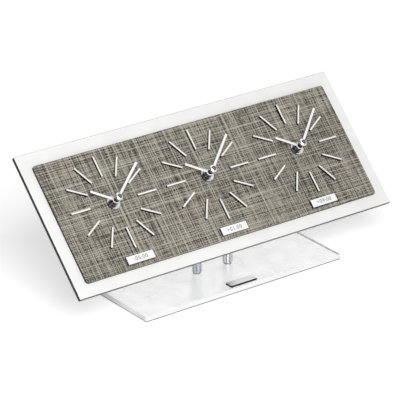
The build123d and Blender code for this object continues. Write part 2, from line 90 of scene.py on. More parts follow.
def add(tree, kind, inputs=None, **settings):
    """Add a node with its settings, and fill its inputs with values or other nodes' outputs."""
    node = tree.nodes.new(kind)
    for name, value in settings.items():
        setattr(node, name, value)
    for name, value in (inputs or {}).items():
        if isinstance(value, bpy.types.NodeSocket):
            tree.links.new(value, node.inputs[name])
        else:
            node.inputs[name].default_value = value
    return node


def new_finish(name):
    """An empty material and its node tree."""
    material = bpy.data.materials.new(name)
    material.use_nodes = True
    material.node_tree.nodes.clear()
    return material, material.node_tree


def cut_sides(tree, facing):
    """1 on the cut sides of a sheet and 0 on its two faces, which look along a direction."""
    # Up to about 26 degrees from that direction, a surface counts as a face
    face_limit = 0.9
    surface = add(tree, "ShaderNodeNewGeometry")
    along = add(tree, "ShaderNodeVectorMath", {
        0: surface.outputs["True Normal"], 1: facing,
    }, operation="DOT_PRODUCT")
    size = add(tree, "ShaderNodeMath", {0: along.outputs["Value"]}, operation="ABSOLUTE")
    side = add(tree, "ShaderNodeMath", {
        0: size.outputs["Value"], 1: face_limit,
    }, operation="LESS_THAN")
    return side.outputs["Value"]


# Cast acrylic with a non-glare face, and ground where it was cut; its edges look white with the help of a
# faint painted glow, and a painted shade darkens their foot
def cast_acrylic():
    smear_size = 20.0
    foot_top = 1.5
    foot_full = 1.0
    side_haze = 0.92
    # Strength of the painted glow of the cut sides
    painted_side_glow = 0.06
    material, tree = new_finish("cast_acrylic")
    place = add(tree, "ShaderNodeTexCoord")
    # Wiping marks make the gloss of the face uneven
    smears = add(tree, "ShaderNodeTexNoise", {
        "Vector": place.outputs["Object"], "Scale": 1.0 / (smear_size * MM), "Detail": 3.0,
    })
    gloss = add(tree, "ShaderNodeMapRange", {
        "Value": smears.outputs["Fac"], "From Min": NOISE_LOW, "From Max": NOISE_HIGH,
        "To Min": 0.2, "To Max": 0.28,
    })
    side = cut_sides(tree, UPRIGHT)
    roughness = add(tree, "ShaderNodeMix", {"Factor": side, "A": gloss.outputs["Result"], "B": 0.45})
    clearness = add(tree, "ShaderNodeMath", {0: side, 1: -side_haze, 2: 1.0}, operation="MULTIPLY_ADD")
    # Painted shade: the foot of a cut side is painted grey, standing in for the dark gap under the plate
    # that it mirrors
    height = add(tree, "ShaderNodeSeparateXYZ", {"Vector": place.outputs["Object"]})
    foot = add(tree, "ShaderNodeMapRange", {
        "Value": height.outputs["Z"], "From Min": foot_top * MM, "From Max": foot_full * MM,
    })
    painted_foot_shade = add(tree, "ShaderNodeMath", {
        0: side, 1: foot.outputs["Result"],
    }, operation="MULTIPLY")
    tone = add(tree, "ShaderNodeMix", {
        "Factor": painted_foot_shade.outputs["Value"], "A": colour("#fafafa"), "B": colour("#7f8184"),
    }, data_type="RGBA")
    # Painted light: the cut sides glow faintly above the foot, standing in for light that runs inside the
    # sheet and leaves there
    glowing_side = add(tree, "ShaderNodeMath", {
        0: side, 1: painted_foot_shade.outputs["Value"],
    }, operation="SUBTRACT")
    painted_edge_glow = add(tree, "ShaderNodeMath", {
        0: glowing_side.outputs["Value"], 1: painted_side_glow,
    }, operation="MULTIPLY")
    body = add(tree, "ShaderNodeBsdfPrincipled", {
        "Base Color": tone.outputs["Result"], "Roughness": roughness.outputs["Result"], "IOR": 1.49,
        "Transmission Weight": clearness.outputs["Value"], "Emission Color": colour("#fafafa"),
        "Emission Strength": painted_edge_glow.outputs["Value"],
    })
    add(tree, "ShaderNodeOutputMaterial", {"Surface": body.outputs["BSDF"]})
    return material


# Sheet: a gloss pale face, with a dark colour on its cut sides, which are as glossy as the face
def pale_face_dark_sides(name, face, side_tone, facing):
    # Slight clouding of the face, and the fine relief of orange peel
    cloud_size = 30.3
    peel_size = 1.515
    material, tree = new_finish(name)
    place = add(tree, "ShaderNodeTexCoord")
    cloud = add(tree, "ShaderNodeTexNoise", {
        "Vector": place.outputs["Object"], "Scale": 1.0 / (cloud_size * MM), "Detail": 2.0,
    })
    peel = add(tree, "ShaderNodeTexNoise", {
        "Vector": place.outputs["Object"], "Scale": 1.0 / (peel_size * MM), "Detail": 1.0,
    })
    darker = add(tree, "ShaderNodeMapRange", {
        "Value": cloud.outputs["Fac"], "From Min": NOISE_LOW, "From Max": NOISE_HIGH,
        "To Min": 0.94, "To Max": 1.0,
    })
    clouded = add(tree, "ShaderNodeVectorMath", {
        0: colour(face)[:3], "Scale": darker.outputs["Result"],
    }, operation="SCALE")
    side = cut_sides(tree, facing)
    tone = add(tree, "ShaderNodeMix", {
        "Factor": side, "A": clouded.outputs["Vector"], "B": colour(side_tone),
    }, data_type="RGBA")
    gloss = add(tree, "ShaderNodeMapRange", {
        "Value": cloud.outputs["Fac"], "From Min": NOISE_LOW, "From Max": NOISE_HIGH,
        "To Min": 0.16, "To Max": 0.26,
    })
    relief = add(tree, "ShaderNodeBump", {
        "Height": peel.outputs["Fac"], "Strength": 0.1, "Distance": 0.05 * MM,
    })
    body = add(tree, "ShaderNodeBsdfPrincipled", {
        "Base Color": tone.outputs["Result"], "Roughness": gloss.outputs["Result"], "IOR": 1.5,
        "Normal": relief.outputs["Normal"],
    })
    add(tree, "ShaderNodeOutputMaterial", {"Surface": body.outputs["BSDF"]})
    return material


# Woven laminate: warm grey threads both ways under a satin resin, with lighter and darker slubs
def woven_laminate():
    # Real threads are about 0.5 mm apart. They are drawn 2.5 mm apart so that they show, with shades
    # that change from thread to thread, knots and slubs. Each pair is a pattern's scale along the
    # threads and across them.
    ripples = (1.0 / (62.5 * MM), WAVE_STEP / (2.5 * MM))
    shades = (1.0 / (83.33 * MM), 1.0 / (0.9091 * MM))
    long_slubs = (1.0 / (100.0 * MM), 1.0 / (0.8333 * MM))
    slub_shift = (3.1, 7.7, 1.3)
    knot_size = 1.2048
    lot_size = 38.46
    knot_share = 0.8
    ripple_share = 0.25
    material, tree = new_finish("woven_laminate")
    place = add(tree, "ShaderNodeTexCoord")
    flat = add(tree, "ShaderNodeMapping", {
        "Vector": place.outputs["Object"], "Rotation": (-LEAN, 0.0, 0.0),
    })
    knots = add(tree, "ShaderNodeTexNoise", {
        "Vector": flat.outputs["Vector"], "Scale": 1.0 / (knot_size * MM), "Detail": 0.0,
    })
    weave = add(tree, "ShaderNodeMath", {0: knots.outputs["Fac"], 1: knot_share}, operation="MULTIPLY")
    slubs = []
    # The threads that run across, and then those that run up, where each pair is turned round
    for bands, order in (("Y", 1), ("X", -1)):
        thread_way = add(tree, "ShaderNodeMapping", {
            "Vector": flat.outputs["Vector"], "Scale": (*ripples[::order], 1.0),
        })
        shade_way = add(tree, "ShaderNodeMapping", {
            "Vector": flat.outputs["Vector"], "Scale": (*shades[::order], 1.0),
        })
        slub_way = add(tree, "ShaderNodeMapping", {
            "Vector": flat.outputs["Vector"], "Scale": (*long_slubs[::order], 1.0), "Location": slub_shift,
        })
        thread = add(tree, "ShaderNodeTexWave", {
            "Vector": thread_way.outputs["Vector"], "Scale": 1.0, "Distortion": 5.0, "Detail": 1.0,
            "Detail Scale": 4.0,
        }, bands_direction=bands)
        shade = add(tree, "ShaderNodeTexNoise", {
            "Vector": shade_way.outputs["Vector"], "Scale": 1.0, "Detail": 0.0,
        })
        slubs.append(add(tree, "ShaderNodeTexNoise", {
            "Vector": slub_way.outputs["Vector"], "Scale": 1.0, "Detail": 0.0,
        }))
        weave = add(tree, "ShaderNodeMath", {
            0: thread.outputs["Fac"], 1: ripple_share, 2: weave.outputs["Value"],
        }, operation="MULTIPLY_ADD")
        weave = add(tree, "ShaderNodeMath", {
            0: shade.outputs["Fac"], 1: weave.outputs["Value"],
        }, operation="ADD")
    ground = add(tree, "ShaderNodeMapRange", {
        "Value": weave.outputs["Value"], "From Min": 1.36, "From Max": 2.0,
    })
    # Dye lots drift between olive and rose
    lots = add(tree, "ShaderNodeTexNoise", {
        "Vector": flat.outputs["Vector"], "Scale": 1.0 / (lot_size * MM), "Detail": 1.0,
    })
    drift = add(tree, "ShaderNodeMapRange", {
        "Value": lots.outputs["Fac"], "From Min": NOISE_LOW, "From Max": NOISE_HIGH,
    })
    low = add(tree, "ShaderNodeMix", {
        "Factor": drift.outputs["Result"], "A": colour("#322f29"), "B": colour("#35302a"),
    }, data_type="RGBA")
    high = add(tree, "ShaderNodeMix", {
        "Factor": drift.outputs["Result"], "A": colour("#aeaa9c"), "B": colour("#b3ab9f"),
    }, data_type="RGBA")
    cloth = add(tree, "ShaderNodeMix", {
        "Factor": ground.outputs["Result"], "A": low.outputs["Result"], "B": high.outputs["Result"],
    }, data_type="RGBA")
    for slub in slubs:
        pale = add(tree, "ShaderNodeMapRange", {
            "Value": slub.outputs["Fac"], "From Min": 0.62, "From Max": 0.7, "To Max": 0.7,
        })
        deep = add(tree, "ShaderNodeMapRange", {
            "Value": slub.outputs["Fac"], "From Min": 0.36, "From Max": 0.28, "To Max": 0.5,
        })
        cloth = add(tree, "ShaderNodeMix", {
            "Factor": pale.outputs["Result"], "A": cloth.outputs["Result"], "B": colour("#c0bbae"),
        }, data_type="RGBA")
        cloth = add(tree, "ShaderNodeMix", {
            "Factor": deep.outputs["Result"], "A": cloth.outputs["Result"], "B": colour("#423e36"),
        }, data_type="RGBA")
    # The cut sides are drawn near-black
    side = cut_sides(tree, OUTWARD)
    tone = add(tree, "ShaderNodeMix", {
        "Factor": side, "A": cloth.outputs["Result"], "B": colour("#14120f"),
    }, data_type="RGBA")
    relief = add(tree, "ShaderNodeBump", {
        "Height": weave.outputs["Value"], "Strength": 0.5, "Distance": 0.15 * MM,
    })
    body = add(tree, "ShaderNodeBsdfPrincipled", {
        "Base Color": tone.outputs["Result"], "Roughness": 0.6, "Specular IOR Level": 0.2,
        "Normal": relief.outputs["Normal"],
    })
    add(tree, "ShaderNodeOutputMaterial", {"Surface": body.outputs["BSDF"]})
    return material


# Metal or plastic whose tone, gloss and relief wander over a grain of one size
def grained(name, tone, other_tone, grain, gloss, metallic=0.0, depth=0.0, stretch=(1.0, 1.0, 1.0)):
    material, tree = new_finish(name)
    place = add(tree, "ShaderNodeTexCoord")
    drawn = add(tree, "ShaderNodeMapping", {"Vector": place.outputs["Object"], "Scale": stretch})
    texture = add(tree, "ShaderNodeTexNoise", {
        "Vector": drawn.outputs["Vector"], "Scale": 1.0 / (grain * MM), "Detail": 3.0,
    })
    spread = add(tree, "ShaderNodeMapRange", {
        "Value": texture.outputs["Fac"], "From Min": NOISE_LOW, "From Max": NOISE_HIGH,
    })
    mixed = add(tree, "ShaderNodeMix", {
        "Factor": spread.outputs["Result"], "A": colour(tone), "B": colour(other_tone),
    }, data_type="RGBA")
    roughness = add(tree, "ShaderNodeMapRange", {
        "Value": spread.outputs["Result"], "To Min": gloss[0], "To Max": gloss[1],
    })
    relief = add(tree, "ShaderNodeBump", {
        "Height": texture.outputs["Fac"], "Strength": 0.6, "Distance": depth * MM,
    })
    body = add(tree, "ShaderNodeBsdfPrincipled", {
        "Base Color": mixed.outputs["Result"], "Roughness": roughness.outputs["Result"],
        "Metallic": metallic, "Normal": relief.outputs["Normal"],
    })
    add(tree, "ShaderNodeOutputMaterial", {"Surface": body.outputs["BSDF"]})
    return material


# Plated metal with one range of brightness on its faces and one level on its sides, and with marks
# of one size along each axis
def two_tone_metal(name, facing, mark_size, gloss, face_level, side_level):
    material, tree = new_finish(name)
    place = add(tree, "ShaderNodeTexCoord")
    drawn = add(tree, "ShaderNodeMapping", {
        "Vector": place.outputs["Object"], "Scale": [1.0 / (size * MM) for size in mark_size],
    })
    lines = add(tree, "ShaderNodeTexNoise", {
        "Vector": drawn.outputs["Vector"], "Scale": 1.0, "Detail": 2.0,
    })
    face = add(tree, "ShaderNodeMapRange", {
        "Value": lines.outputs["Fac"], "From Min": NOISE_LOW, "From Max": NOISE_HIGH,
        "To Min": face_level[0], "To Max": face_level[1],
    })
    side = cut_sides(tree, facing)
    tone = add(tree, "ShaderNodeMix", {"Factor": side, "A": face.outputs["Result"], "B": side_level})
    roughness = add(tree, "ShaderNodeMapRange", {
        "Value": lines.outputs["Fac"], "From Min": NOISE_LOW, "From Max": NOISE_HIGH,
        "To Min": gloss[0], "To Max": gloss[1],
    })
    body = add(tree, "ShaderNodeBsdfPrincipled", {
        "Base Color": tone.outputs["Result"], "Roughness": roughness.outputs["Result"], "Metallic": 1.0,
    })
    add(tree, "ShaderNodeOutputMaterial", {"Surface": body.outputs["BSDF"]})
    return material


# Enamelled copper wire wound on the bobbin: fine turns, painted lighter on their crowns and darker in the
# grooves between them (painted highlight and painted shade)
def wound_copper():
    # About ten times as thick as the real wire, so that the turns show
    turn_gap = 0.3
    material, tree = new_finish("wound_copper")
    place = add(tree, "ShaderNodeTexCoord")
    flat = add(tree, "ShaderNodeMapping", {
        "Vector": place.outputs["Object"], "Rotation": (-LEAN, 0.0, 0.0),
    })
    turns = add(tree, "ShaderNodeTexWave", {
        "Vector": flat.outputs["Vector"], "Scale": WAVE_STEP / (turn_gap * MM), "Distortion": 0.6,
        "Detail": 1.0,
    }, bands_direction="Y")
    # Painted highlight and shade: each turn is bright on its crown and dark in the groove beside it,
    # following the waves of the relief
    tone = add(tree, "ShaderNodeMix", {
        "Factor": turns.outputs["Fac"], "A": colour("#6d2f17"), "B": colour("#c47245"),
    }, data_type="RGBA")
    relief = add(tree, "ShaderNodeBump", {
        "Height": turns.outputs["Fac"], "Strength": 0.7, "Distance": 0.08 * MM,
    })
    body = add(tree, "ShaderNodeBsdfPrincipled", {
        "Base Color": tone.outputs["Result"], "Roughness": 0.28, "Metallic": 0.9,
        "Normal": relief.outputs["Normal"],
    })
    add(tree, "ShaderNodeOutputMaterial", {"Surface": body.outputs["BSDF"]})
    return material


# Fibreglass board under green solder mask: paler tracks 0.6 mm wide in a brick pattern
def circuit_board():
    material, tree = new_finish("solder_mask")
    place = add(tree, "ShaderNodeTexCoord")
    flat = add(tree, "ShaderNodeMapping", {
        "Vector": place.outputs["Object"], "Rotation": (-LEAN, 0.0, 0.0),
    })
    tracks = add(tree, "ShaderNodeTexBrick", {
        "Vector": flat.outputs["Vector"], "Color1": colour("#184f2e"), "Color2": colour("#1c5a35"),
        "Mortar": colour("#2f7a4c"), "Scale": 1.0, "Mortar Size": 0.3 * MM, "Brick Width": 5.0 * MM,
        "Row Height": 2.5 * MM,
    })
    body = add(tree, "ShaderNodeBsdfPrincipled", {
        "Base Color": tracks.outputs["Color"], "Roughness": 0.3, "Coat Weight": 0.4,
    })
    add(tree, "ShaderNodeOutputMaterial", {"Surface": body.outputs["BSDF"]})
    return material


acrylic = cast_acrylic()
laminate = woven_laminate()
# White laminate board, gloss, with its cut sides drawn black
panel_sheet = pale_face_dark_sides("white_laminate", "#f9f9f8", "#161718", OUTWARD)
# Engraving sheet in ivory, with its cut sides drawn black: markers
marker_sheet = pale_face_dark_sides("ivory_dark_sided", "#fbf9f3", "#1d1b18", OUTWARD)
# Engraving sheet in white, with its cut sides drawn black: zone plates
plate_sheet = pale_face_dark_sides("white_dark_sided", "#fafafa", "#1a1a1a", OUTWARD)
# Chromed tube, polished along its length: streaks 2 mm wide
tube_chrome = grained(
    "tube_chrome", "#f0f2f6", "#868c96", grain=2.0, gloss=(0.04, 0.14), metallic=1.0,
    stretch=(1.0, 1.0, 0.03),
)
# Brushed chrome badge, black on its sides: brush lines that are drawn coarser than real ones
badge_plate = two_tone_metal(
    "brushed_chrome", UPRIGHT, mark_size=(12.5, 0.625, 0.625), gloss=(0.3, 0.45),
    face_level=(0.75, 0.97), side_level=0.012,
)
# Turned nut: lapped on its faces, and drawn black on its sides
nut_metal = two_tone_metal(
    "lapped_nut", OUTWARD, mark_size=(2.0, 2.0, 2.0), gloss=(0.12, 0.25), face_level=(0.5, 0.75),
    side_level=0.012,
)
# Chromed cap, darker in its middle, with wiping marks
cap_metal = two_tone_metal(
    "dark_middle_cap", OUTWARD, mark_size=(2.0, 2.0, 2.0), gloss=(0.08, 0.2), face_level=(0.1, 0.2),
    side_level=0.9,
)
# Stamped hands: silver-white lacquer on their faces, and drawn black on their sides and collars
hand_sheet = pale_face_dark_sides("lacquered_hand", "#fefefd", "#1c1c1e", OUTWARD)
# Moulded ABS from a spark-eroded mould: even black grain, drawn coarser than it is
black_abs = grained("black_abs", "#191919", "#111111", grain=0.8, gloss=(0.42, 0.6), depth=0.06)
# Moulded acetal in black: smoother and waxier than ABS
black_acetal = grained("black_acetal", "#1d1d1d", "#121212", grain=2.0, gloss=(0.25, 0.38), depth=0.01)
# Natural acetal: milky white with flow marks some 3 mm long
natural_acetal = grained(
    "natural_acetal", "#e6e2d6", "#d6d1c3", grain=3.0, gloss=(0.3, 0.45), depth=0.01,
)
# Turned brass: lathe marks as fine lines
brass = grained(
    "turned_brass", "#cfa95e", "#b98f45", grain=0.5, gloss=(0.18, 0.32), metallic=1.0, depth=0.01,
    stretch=(1.0, 1.0, 6.0),
)
# Zinc-plated steel: bright, slightly blue, with a crystalline mottle
zinc = grained(
    "zinc_steel", "#c6c8ca", "#a9acaf", grain=0.7, gloss=(0.22, 0.4), metallic=1.0, depth=0.01,
)
# Nickel-plated spring strip: rolled lines across
nickel = grained(
    "nickel_strip", "#d3cfc6", "#b8b4ab", grain=0.6, gloss=(0.18, 0.32), metallic=1.0, depth=0.01,
    stretch=(1.0, 8.0, 8.0),
)
# Pressed electrical steel: dull grey rolled sheet
stator_sheet = grained(
    "electrical_steel", "#8d8e90", "#747577", grain=0.6, gloss=(0.35, 0.5), metallic=1.0, depth=0.02,
    stretch=(1.0, 5.0, 5.0),
)
# Sintered magnet: dark grey and granular
magnet = grained(
    "sintered_magnet", "#56565a", "#424246", grain=0.4, gloss=(0.4, 0.6), metallic=0.7, depth=0.03,
)
# Shrink sleeve of a dry cell: smooth slate-blue film, with a pale band towards the button
sleeve = grained("shrink_sleeve", "#33505f", "#2c4652", grain=6.0, gloss=(0.16, 0.24))
pale_sleeve = grained("pale_sleeve", "#c3c9cc", "#b6bdc0", grain=6.0, gloss=(0.16, 0.24))
# Printing ink in neutral grey, a little uneven
ink = grained("grey_ink", "#6a6c70", "#7d7f83", grain=0.4, gloss=(0.5, 0.7))
copper = wound_copper()
board = circuit_board()


def dress(material, *names):
    """Give CAD nodes a material."""
    for name in names:
        node = nodes[name]
        node.data.materials.clear()
        node.data.materials.append(material)


def each(*names):
    """The names of pieces that every movement has."""
    return [f"{name}_{side}" for name in names for side in SIDES]


dress(acrylic, "base_plate")
dress(panel_sheet, "front_panel")
dress(laminate, "dial_plate")
dress(badge_plate, "base_badge")
dress(cap_metal, *each("hand_cap"))
dress(tube_chrome, "left_post", "right_post")
dress(nut_metal, "fixing_nuts")
dress(marker_sheet, "hour_markers")
dress(plate_sheet, "zone_plates")
dress(hand_sheet, *each("hour_hand", "minute_hand"))
dress(black_abs, *each("movement_case", "movement_cover"))
dress(black_acetal, *each("setting_knob", "hour_wheel"))
dress(natural_acetal, *each("fifth_wheel", "seconds_wheel", "third_wheel", "centre_wheel", "minute_wheel"))
dress(brass, *each("minute_arbor"))
dress(zinc, "base_screws", "panel_screws")
dress(nickel, "battery_contacts")
dress(stator_sheet, "stators")
dress(magnet, *each("rotor"))
dress(sleeve, *each("battery"))
dress(board, "circuit_boards")
dress(copper, "coils")


def only(piece):
    """Make a piece the one that is selected and active."""
    bpy.ops.object.select_all(action="DESELECT")
    piece.select_set(True)
    bpy.context.view_layer.objects.active = piece


def discard(piece):
    """Delete a piece that was only a pattern or a tool."""
    only(piece)
    bpy.ops.object.delete()


def settle(piece, origin, across, upward):
    """Turn a piece modelled at the origin to its place, and keep that place in its mesh."""
    turn = Matrix((across, upward, across.cross(upward))).transposed()
    piece.matrix_world = Matrix.Translation(origin) @ turn.to_4x4()
    only(piece)
    bpy.ops.object.transform_apply(location=True, rotation=True, scale=True)


def copy_of(piece, name):
    """A copy of a piece, with a mesh of its own."""
    twin = piece.copy()
    twin.data = piece.data.copy()
    twin.name = name
    bpy.context.collection.objects.link(twin)
    return twin


def join(pieces, name):
    """Make pieces one."""
    only(pieces[0])
    for piece in pieces[1:]:
        piece.select_set(True)
    bpy.ops.object.join()
    pieces[0].name = name
    return pieces[0]


def edit_all():
    """Edit the active piece, with all of it selected."""
    bpy.ops.object.mode_set(mode="EDIT")
    bpy.ops.mesh.select_all(action="SELECT")


def edit_done():
    """Go back from editing to whole pieces."""
    bpy.ops.object.mode_set(mode="OBJECT")


def pick_corners(piece, test):
    """Of a piece that is edited, select only the corners whose place passes a test."""
    bpy.ops.mesh.select_all(action="DESELECT")
    shape = bmesh.from_edit_mesh(piece.data)
    for corner in shape.verts:
        corner.select_set(test(corner.co))
    bmesh.update_edit_mesh(piece.data)


def turned(name, profile, sides):
    """A piece turned on a lathe, from rings of radius and height, foot to top."""
    smooth_below = math.radians(35)
    bpy.ops.object.select_all(action="DESELECT")
    foot, height = profile[0]
    bpy.ops.mesh.primitive_circle_add(vertices=sides, radius=foot * MM, fill_type="NGON")
    piece = bpy.context.object
    piece.name = name
    edit_all()
    bpy.ops.transform.translate(value=(0.0, 0.0, height * MM))
    for (radius, low), (next_radius, high) in zip(profile, profile[1:]):
        bpy.ops.mesh.extrude_region_move(TRANSFORM_OT_translate={"value": (0.0, 0.0, (high - low) * MM)})
        share = next_radius / radius
        bpy.ops.transform.resize(value=(share, share, 1.0))
    bpy.ops.mesh.select_all(action="SELECT")
    bpy.ops.mesh.normals_make_consistent(inside=False)
    edit_done()
    bpy.ops.object.shade_smooth_by_angle(angle=smooth_below)
    return piece


# M4 screws with a countersunk head and a cross recess. Heights count from the top of the head.
TIP_RADIUS = 1.4
TIP_SHOULDER = 1.9
TIP_HEIGHT = 0.5
THREAD_PITCH = 0.7
THREAD_CORE = 1.58
THREAD_CREST = 1.98
THREAD_END = -2.6
ROOT_FLAT = 0.1
CREST_START = 0.35
CREST_FLAT = 0.1
NECK_RADIUS = 1.6
NECK_END = -2.1
HEAD_FOOT = -1.85
HEAD_RADIUS = 3.78
HEAD_RIM = 0.1
# Length, width and twice the depth of an arm of the recess, and the share of it that is left at its
# ground
RECESS_ARM = (4.4, 0.95, 3.4)
RECESS_GROUND = 0.45
BASE_SCREW = 20.0
PANEL_SCREW = 8.0


def countersunk_screw(name, length):
    """A screw that points down, with the flat top of its head at height 0."""
    profile = [(TIP_RADIUS, -length), (TIP_SHOULDER, TIP_HEIGHT - length)]
    level = THREAD_PITCH - length
    while level < THREAD_END:
        profile += [
            (THREAD_CORE, level), (THREAD_CORE, level + ROOT_FLAT),
            (THREAD_CREST, level + CREST_START), (THREAD_CREST, level + CREST_START + CREST_FLAT),
        ]
        level += THREAD_PITCH
    profile += [
        (NECK_RADIUS, level), (NECK_RADIUS, NECK_END), (THREAD_CREST, HEAD_FOOT),
        (HEAD_RADIUS - 0.08, -2 * HEAD_RIM), (HEAD_RADIUS, -HEAD_RIM), (HEAD_RADIUS - 0.18, 0.0),
    ]
    screw = turned(name, profile, sides=40)
    bpy.ops.object.select_all(action="DESELECT")
    bpy.ops.mesh.primitive_cube_add(size=MM)
    recess = bpy.context.object
    edit_all()
    bpy.ops.transform.resize(value=RECESS_ARM)
    bpy.ops.mesh.duplicate()
    bpy.ops.transform.rotate(value=math.pi / 2, orient_axis="Z", center_override=(0.0, 0.0, 0.0))
    pick_corners(recess, lambda place: place.z < 0)
    bpy.ops.transform.resize(
        value=(RECESS_GROUND, RECESS_GROUND, 1.0), center_override=(0.0, 0.0, 0.0)
    )
    edit_done()
    only(screw)
    cut = screw.modifiers.new("cross_recess", "BOOLEAN")
    cut.object = recess
    cut.operation = "DIFFERENCE"
    cut.use_self = True
    bpy.ops.object.modifier_apply(modifier=cut.name)
    discard(recess)
    screw.data.materials.append(zinc)
    return screw


# Screws: up through the base, and through the panel, into the posts
long_screw = countersunk_screw("base_screw", BASE_SCREW)
short_screw = countersunk_screw("panel_screw", PANEL_SCREW)
back_point = PANEL_FRONT - OUTWARD * PANEL_THICKNESS * MM
base_pair = []
panel_pair = []
for post in ("left_post", "right_post"):
    middle = middle_of(post)
    screw = copy_of(long_screw, "base_screw_copy")
    settle(screw, Vector((middle.x, middle.y, 0.0)), ACROSS, Vector((0.0, -1.0, 0.0)))
    base_pair.append(screw)
    # A panel screw goes square through the panel, and leaves its back where the post's axis meets it
    rise = (middle.y - back_point.y) / math.tan(LEAN)
    seat = Vector((middle.x, middle.y, back_point.z + rise)) + OUTWARD * PANEL_THICKNESS * MM
    screw = copy_of(short_screw, "panel_screw_copy")
    settle(screw, seat, ACROSS, UPWARD)
    panel_pair.append(screw)
discard(long_screw)
discard(short_screw)
for pair, node in ((base_pair, "base_screws"), (panel_pair, "panel_screws")):
    screws = join(pair, node + "_recessed")
    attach(screws, "stand")
    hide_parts(node)


# Dry cell: a sleeved can with a rolled rim at each end, a raised button, a flat foot, and a fine
# groove where the pale band of the sleeve starts
CELL_RADIUS = 7.1
BAND_FOOT = 42.0
BARE_END_RADIUS = 6.0
CELL_PROFILE = [
    (4.4, 0.0), (4.7, 0.3), (5.6, 0.3), (6.3, 0.05), (6.8, 0.15), (CELL_RADIUS, 0.7),
    (CELL_RADIUS, BAND_FOOT - 0.1), (CELL_RADIUS - 0.05, BAND_FOOT), (CELL_RADIUS, BAND_FOOT + 0.1),
    (CELL_RADIUS, 48.4), (6.85, 49.0), (6.3, 49.3), (5.4, 49.05), (3.3, 49.05), (2.75, 49.4),
    (2.7, 50.2), (2.3, 50.5),
]


def on_bare_end(place):
    """True on the metal ends of a cell."""
    return place.xy.length < BARE_END_RADIUS * MM


def on_pale_band(place):
    """True on the pale band of a cell's sleeve."""
    return place.xy.length > (CELL_RADIUS - 0.2) * MM and place.z > BAND_FOOT * MM


cell = turned("dry_cell", CELL_PROFILE, sides=64)
for material in (sleeve, nickel, pale_sleeve):
    cell.data.materials.append(material)
bpy.ops.object.mode_set(mode="EDIT")
for slot, test in ((1, on_bare_end), (2, on_pale_band)):
    bpy.ops.mesh.select_all(action="DESELECT")
    shell = bmesh.from_edit_mesh(cell.data)
    for face in shell.faces:
        face.select_set(test(face.calc_center_median()))
    bmesh.update_edit_mesh(cell.data)
    cell.active_material_index = slot
    bpy.ops.object.material_slot_assign()
edit_done()
for side in SIDES:
    low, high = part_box(f"battery_{side}")
    foot = Vector((low[0], (low[1] + high[1]) / 2, (low[2] + high[2]) / 2))
    copy = copy_of(cell, f"dry_cell_{side}")
    settle(copy, foot, UPWARD, OUTWARD)
    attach(copy, "stand")
    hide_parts(f"battery_{side}")
discard(cell)


def flat_bar(width, height, at):
    """A flat bar's outline."""
    bpy.ops.object.select_all(action="DESELECT")
    bpy.ops.mesh.primitive_plane_add(size=MM)
    bar = bpy.context.object
    edit_all()
    bpy.ops.transform.resize(value=(width, height, 1.0))
    bpy.ops.transform.translate(value=(at[0] * MM, at[1] * MM, 0.0))
    edit_done()
    return bar


# Moulded marks on the back of a movement case: a turning arrow round the knob, and the cell's poles.
# The middle of the arrow is their origin, and the poles' signs stand just under the bay's ends.
# The arrow's outer radius is its inner one times its spread.
ARROW_RADIUS = 7.4
ARROW_SPREAD = 1.12
ARROW_END = -3.0
ARROW_HEAD = 1.7
ARROW_HEAD_PLACE = (7.15, -3.7)
ARROW_HEAD_TURN = math.radians(24)
SIGN_LENGTH = 3.4
SIGN_STROKE = 0.8
SIGN_RISE = 22.6
PLUS_ACROSS = -3.5
MINUS_ACROSS = 41.5
MARK_HEIGHT = 0.4
# Where the case's back lies, counted outwards from the panel's front
CASE_BACK = -20.5


def turning_arrow():
    """The outlines of an arc and of the heads at its two ends."""
    bpy.ops.object.select_all(action="DESELECT")
    bpy.ops.mesh.primitive_circle_add(vertices=72, radius=ARROW_RADIUS * MM, fill_type="NOTHING")
    arc = bpy.context.object
    bpy.ops.object.mode_set(mode="EDIT")
    pick_corners(arc, lambda place: place.y < ARROW_END * MM)
    bpy.ops.mesh.delete(type="VERT")
    bpy.ops.mesh.select_all(action="SELECT")
    bpy.ops.mesh.extrude_edges_move()
    bpy.ops.transform.resize(
        value=(ARROW_SPREAD, ARROW_SPREAD, 1.0), center_override=(0.0, 0.0, 0.0)
    )
    edit_done()
    outlines = [arc]
    across, upward = ARROW_HEAD_PLACE
    for end in (-1, 1):
        bpy.ops.object.select_all(action="DESELECT")
        bpy.ops.mesh.primitive_circle_add(vertices=3, radius=ARROW_HEAD * MM, fill_type="NGON")
        head = bpy.context.object
        edit_all()
        bpy.ops.transform.rotate(
            value=math.pi - end * ARROW_HEAD_TURN, orient_axis="Z", center_override=(0.0, 0.0, 0.0)
        )
        bpy.ops.transform.translate(value=(end * across * MM, upward * MM, 0.0))
        edit_done()
        outlines.append(head)
    return outlines


def pole_signs():
    """The outlines of a plus, whose upright is two stubs, and of a minus."""
    stub = 1.3
    stub_rise = (SIGN_STROKE + stub) / 2
    return [
        flat_bar(SIGN_LENGTH, SIGN_STROKE, (PLUS_ACROSS, SIGN_RISE)),
        flat_bar(SIGN_STROKE, stub, (PLUS_ACROSS, SIGN_RISE + stub_rise)),
        flat_bar(SIGN_STROKE, stub, (PLUS_ACROSS, SIGN_RISE - stub_rise)),
        flat_bar(SIGN_LENGTH, SIGN_STROKE, (MINUS_ACROSS, SIGN_RISE)),
    ]


marks = join(turning_arrow() + pole_signs(), "case_marks")
only(marks)
edit_all()
bpy.ops.mesh.extrude_region_move(TRANSFORM_OT_translate={"value": (0.0, 0.0, MARK_HEIGHT * MM)})
bpy.ops.mesh.select_all(action="SELECT")
bpy.ops.mesh.normals_make_consistent(inside=False)
edit_done()
marks.data.materials.append(black_abs)
for side in SIDES:
    knob = axis_points[f"knob_turn_{side}"]
    over_front = (knob - PANEL_FRONT).dot(OUTWARD)
    copy = copy_of(marks, f"case_marks_{side}")
    settle(copy, knob + OUTWARD * (CASE_BACK * MM - over_front), -ACROSS, UPWARD)
    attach(copy, "stand")
discard(marks)

